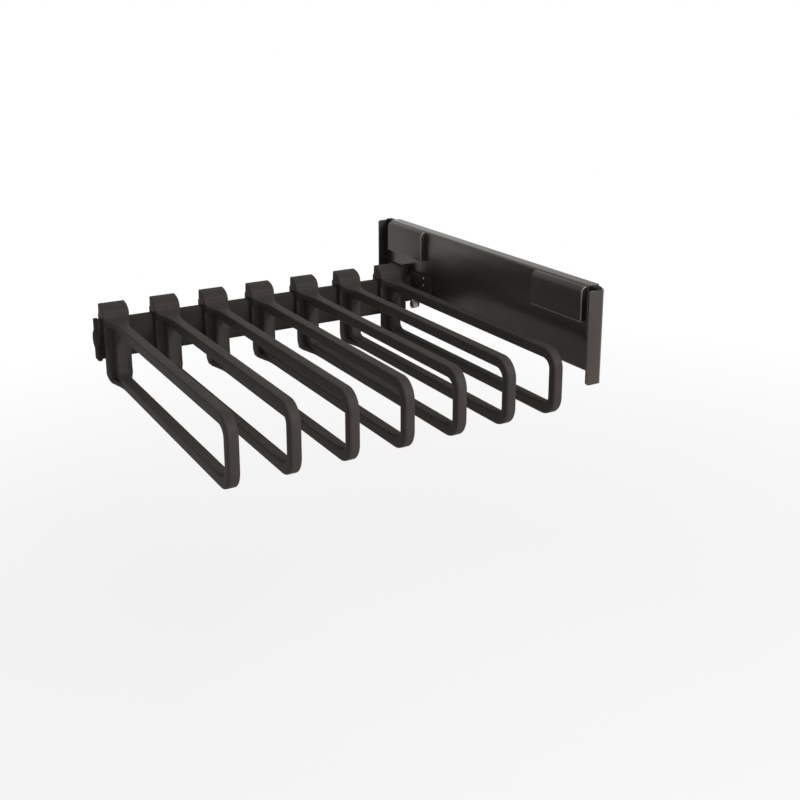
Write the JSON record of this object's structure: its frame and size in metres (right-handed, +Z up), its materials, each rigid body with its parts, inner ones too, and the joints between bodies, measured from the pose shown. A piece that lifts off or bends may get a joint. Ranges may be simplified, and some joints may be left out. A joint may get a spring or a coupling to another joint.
{
  "type": "pull out trouser rack",
  "caption": "Side-mounted wardrobe rack on a telescopic runner: a long cover panel carries a cross rail with sliding looped trouser hangers, and pulls out by its end strip.",
  "frame": {"origin": "middle of the runner's mounting face on the wardrobe's side wall", "axes": "+X into the side wall, +Y to the back of the wardrobe, so the rack pulls out along -Y, and +Z up"},
  "size_m": [0.4465, 0.4486, 0.1408],
  "materials": {
    "coated_steel": "satin anthracite powder coat",
    "moulded_plastic": "fine matt anthracite moulding",
    "hanger_plastic": "matt anthracite moulding",
    "galvanised_steel": "bright galvanised sheet",
    "zinc_plate": "zinc plated",
    "ball_steel": "polished",
    "cage_plastic": "natural nylon",
    "soft_rubber": "matt"
  },
  "bodies": {
    "cabinet": {"cabinet_member": "galvanised_steel", "closing_bumper": "soft_rubber"},
    "runner_middle": {"middle_member": "galvanised_steel"},
    "outer_cage": {"outer_cage_upper": "cage_plastic", "outer_cage_lower": "cage_plastic", "outer_ball_1": "ball_steel", "outer_ball_2": "ball_steel", "outer_ball_3": "ball_steel", "outer_ball_4": "ball_steel", "outer_ball_5": "ball_steel", "outer_ball_6": "ball_steel", "outer_ball_7": "ball_steel", "outer_ball_8": "ball_steel"},
    "inner_cage": {"inner_cage_upper": "cage_plastic", "inner_cage_lower": "cage_plastic", "inner_ball_1": "ball_steel", "inner_ball_2": "ball_steel", "inner_ball_3": "ball_steel", "inner_ball_4": "ball_steel", "inner_ball_5": "ball_steel", "inner_ball_6": "ball_steel", "inner_ball_7": "ball_steel", "inner_ball_8": "ball_steel"},
    "carriage": {"drawer_member": "galvanised_steel", "weld_nut_1": "galvanised_steel", "weld_nut_2": "galvanised_steel", "weld_nut_3": "galvanised_steel", "weld_nut_4": "galvanised_steel", "cover_screw_1": "galvanised_steel", "cover_screw_2": "galvanised_steel", "cover_screw_3": "galvanised_steel", "cover_screw_4": "galvanised_steel", "cover_panel": "coated_steel", "front_end_block": "moulded_plastic", "rear_end_block": "moulded_plastic", "front_handle_strip": "coated_steel", "rear_handle_strip": "coated_steel", "front_snap_cap": "moulded_plastic", "rear_snap_cap": "moulded_plastic", "rail_bracket": "moulded_plastic", "bracket_screw_1": "zinc_plate", "bracket_screw_2": "zinc_plate", "bracket_screw_3": "zinc_plate", "bracket_screw_4": "zinc_plate", "adjusting_screw": "zinc_plate", "cross_rail": "coated_steel", "rail_screw_1": "zinc_plate", "rail_screw_2": "zinc_plate", "rail_end_cap": "moulded_plastic"},
    "hanger_1": {"hanger_1": "hanger_plastic"},
    "hanger_2": {"hanger_2": "hanger_plastic"},
    "hanger_3": {"hanger_3": "hanger_plastic"},
    "hanger_4": {"hanger_4": "hanger_plastic"},
    "hanger_5": {"hanger_5": "hanger_plastic"},
    "hanger_6": {"hanger_6": "hanger_plastic"},
    "hanger_7": {"hanger_7": "hanger_plastic"}
  },
  "joints": [
    {"name": "pull_out", "type": "slide", "parent": "cabinet", "child": "carriage", "axis": [0, -1, 0], "range_m": [0, 0.38]},
    {"name": "middle_travel", "type": "slide", "parent": "cabinet", "child": "runner_middle", "axis": [0, -1, 0], "range_m": [0, 0.19]},
    {"name": "outer_cage_travel", "type": "slide", "parent": "cabinet", "child": "outer_cage", "axis": [0, -1, 0], "range_m": [0, 0.095]},
    {"name": "inner_cage_travel", "type": "slide", "parent": "cabinet", "child": "inner_cage", "axis": [0, -1, 0], "range_m": [0, 0.285]},
    {"name": "hanger_1_slide", "type": "slide", "parent": "carriage", "child": "hanger_1", "axis": [1, 0, 0], "range_m": [-0.002, 0.012]},
    {"name": "hanger_2_slide", "type": "slide", "parent": "carriage", "child": "hanger_2", "axis": [1, 0, 0], "range_m": [-0.012, 0.012]},
    {"name": "hanger_3_slide", "type": "slide", "parent": "carriage", "child": "hanger_3", "axis": [1, 0, 0], "range_m": [-0.012, 0.012]},
    {"name": "hanger_4_slide", "type": "slide", "parent": "carriage", "child": "hanger_4", "axis": [1, 0, 0], "range_m": [-0.012, 0.012]},
    {"name": "hanger_5_slide", "type": "slide", "parent": "carriage", "child": "hanger_5", "axis": [1, 0, 0], "range_m": [-0.012, 0.012]},
    {"name": "hanger_6_slide", "type": "slide", "parent": "carriage", "child": "hanger_6", "axis": [1, 0, 0], "range_m": [-0.012, 0.012]},
    {"name": "hanger_7_slide", "type": "slide", "parent": "carriage", "child": "hanger_7", "axis": [1, 0, 0], "range_m": [-0.012, 0.009]}
  ],
  "couplings": [
    {"joint": "middle_travel", "follows": "pull_out", "ratio": 0.5},
    {"joint": "outer_cage_travel", "follows": "pull_out", "ratio": 0.25},
    {"joint": "inner_cage_travel", "follows": "pull_out", "ratio": 0.75}
  ]
}
